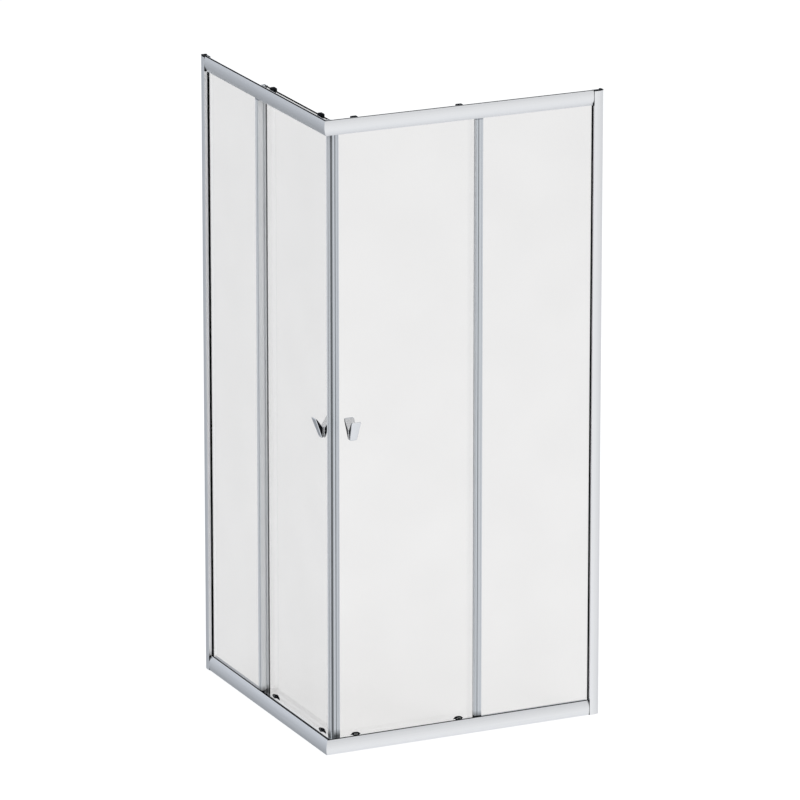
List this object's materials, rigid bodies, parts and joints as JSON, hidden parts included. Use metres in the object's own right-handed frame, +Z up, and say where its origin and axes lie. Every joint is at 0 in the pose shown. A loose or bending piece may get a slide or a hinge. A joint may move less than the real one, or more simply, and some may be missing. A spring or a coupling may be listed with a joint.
{
  "type": "corner shower enclosure",
  "caption": "Square corner shower enclosure with a fixed glass panel and a sliding glass door on each face; the doors roll apart from the corner in aluminium rails.",
  "frame": {"origin": "on the floor at the middle of the square plan", "axes": "+Z up; the right face runs along +X at the low-Y side, the left face along +Y at the low-X side; the walls are at the high-X end and the high-Y end"},
  "size_m": [0.885, 0.885, 1.9],
  "materials": {
    "anodised_aluminium": "satin silver anodised",
    "clear_glass": "clear toughened",
    "chrome": "polished chrome plate",
    "black_plastic": "moulded",
    "black_rubber": "extruded EPDM",
    "grey_seal": "soft PVC",
    "white_acetal": "turned",
    "steel": "stainless"
  },
  "bodies": {
    "frame": {"right_bottom_rail": "anodised_aluminium", "right_top_rail": "anodised_aluminium", "right_rail_gaskets": "black_rubber", "right_wall_channel": "anodised_aluminium", "right_jamb": "anodised_aluminium", "right_jamb_gasket": "black_rubber", "right_wall_cap": "black_plastic", "right_fixed_glass": "clear_glass", "right_edge_strip": "anodised_aluminium", "right_edge_seal": "grey_seal", "right_edge_caps": "black_plastic", "right_door_stops": "black_rubber", "left_bottom_rail": "anodised_aluminium", "left_top_rail": "anodised_aluminium", "left_rail_gaskets": "black_rubber", "left_wall_channel": "anodised_aluminium", "left_jamb": "anodised_aluminium", "left_jamb_gasket": "black_rubber", "left_wall_cap": "black_plastic", "left_fixed_glass": "clear_glass", "left_edge_strip": "anodised_aluminium", "left_edge_seal": "grey_seal", "left_edge_caps": "black_plastic", "left_door_stops": "black_rubber", "bottom_corner_key": "black_plastic", "top_corner_key": "black_plastic", "top_corner_plug": "black_plastic", "corner_screws": "steel", "rail_screws": "steel", "jamb_screws": "steel"},
    "right_door": {"right_door_glass": "clear_glass", "right_leading_profile": "anodised_aluminium", "right_magnetic_seal": "grey_seal", "right_trailing_profile": "anodised_aluminium", "right_handle_outer": "chrome", "right_handle_inner": "chrome", "right_handle_screw": "steel", "right_top_roller_bodies": "black_plastic", "right_bottom_roller_pads": "black_plastic", "right_bottom_roller_knobs": "black_plastic", "right_roller_bolts": "steel"},
    "right_top_leading_wheel": {"right_top_leading_wheel": "white_acetal"},
    "right_top_trailing_wheel": {"right_top_trailing_wheel": "white_acetal"},
    "right_bottom_leading_wheel": {"right_bottom_leading_wheel": "white_acetal"},
    "right_bottom_trailing_wheel": {"right_bottom_trailing_wheel": "white_acetal"},
    "left_door": {"left_door_glass": "clear_glass", "left_leading_profile": "anodised_aluminium", "left_magnetic_seal": "grey_seal", "left_trailing_profile": "anodised_aluminium", "left_handle_outer": "chrome", "left_handle_inner": "chrome", "left_handle_screw": "steel", "left_top_roller_bodies": "black_plastic", "left_bottom_roller_pads": "black_plastic", "left_bottom_roller_knobs": "black_plastic", "left_roller_bolts": "steel"},
    "left_top_leading_wheel": {"left_top_leading_wheel": "white_acetal"},
    "left_top_trailing_wheel": {"left_top_trailing_wheel": "white_acetal"},
    "left_bottom_leading_wheel": {"left_bottom_leading_wheel": "white_acetal"},
    "left_bottom_trailing_wheel": {"left_bottom_trailing_wheel": "white_acetal"}
  },
  "joints": [
    {"name": "right_door_slide", "type": "slide", "parent": "frame", "child": "right_door", "axis": [1, 0, 0], "range_m": [0, 0.35]},
    {"name": "right_top_leading_wheel_spin", "type": "hinge", "parent": "right_door", "child": "right_top_leading_wheel", "pos_m": [-0.3325, -0.4149, 1.8714], "axis": [0, 1, 0], "range_deg": [0, 2515]},
    {"name": "right_top_trailing_wheel_spin", "type": "hinge", "parent": "right_door", "child": "right_top_trailing_wheel", "pos_m": [-0.0015, -0.4149, 1.8714], "axis": [0, 1, 0], "range_deg": [0, 2515]},
    {"name": "right_bottom_leading_wheel_spin", "type": "hinge", "parent": "right_door", "child": "right_bottom_leading_wheel", "pos_m": [-0.3325, -0.4149, 0.0286], "axis": [0, 1, 0], "range_deg": [-2515, 0]},
    {"name": "right_bottom_trailing_wheel_spin", "type": "hinge", "parent": "right_door", "child": "right_bottom_trailing_wheel", "pos_m": [-0.0015, -0.4149, 0.0286], "axis": [0, 1, 0], "range_deg": [-2515, 0]},
    {"name": "left_door_slide", "type": "slide", "parent": "frame", "child": "left_door", "axis": [0, 1, 0], "range_m": [0, 0.35]},
    {"name": "left_top_leading_wheel_spin", "type": "hinge", "parent": "left_door", "child": "left_top_leading_wheel", "pos_m": [-0.4149, -0.3325, 1.8714], "axis": [1, 0, 0], "range_deg": [-2515, 0]},
    {"name": "left_top_trailing_wheel_spin", "type": "hinge", "parent": "left_door", "child": "left_top_trailing_wheel", "pos_m": [-0.4149, -0.0015, 1.8714], "axis": [1, 0, 0], "range_deg": [-2515, 0]},
    {"name": "left_bottom_leading_wheel_spin", "type": "hinge", "parent": "left_door", "child": "left_bottom_leading_wheel", "pos_m": [-0.4149, -0.3325, 0.0286], "axis": [1, 0, 0], "range_deg": [0, 2515]},
    {"name": "left_bottom_trailing_wheel_spin", "type": "hinge", "parent": "left_door", "child": "left_bottom_trailing_wheel", "pos_m": [-0.4149, -0.0015, 0.0286], "axis": [1, 0, 0], "range_deg": [0, 2515]}
  ],
  "couplings": [
    {"joint": "right_top_leading_wheel_spin", "follows": "right_door_slide", "rad_per_m": 125},
    {"joint": "right_top_trailing_wheel_spin", "follows": "right_door_slide", "rad_per_m": 125},
    {"joint": "right_bottom_leading_wheel_spin", "follows": "right_door_slide", "rad_per_m": -125},
    {"joint": "right_bottom_trailing_wheel_spin", "follows": "right_door_slide", "rad_per_m": -125},
    {"joint": "left_top_leading_wheel_spin", "follows": "left_door_slide", "rad_per_m": -125},
    {"joint": "left_top_trailing_wheel_spin", "follows": "left_door_slide", "rad_per_m": -125},
    {"joint": "left_bottom_leading_wheel_spin", "follows": "left_door_slide", "rad_per_m": 125},
    {"joint": "left_bottom_trailing_wheel_spin", "follows": "left_door_slide", "rad_per_m": 125}
  ]
}
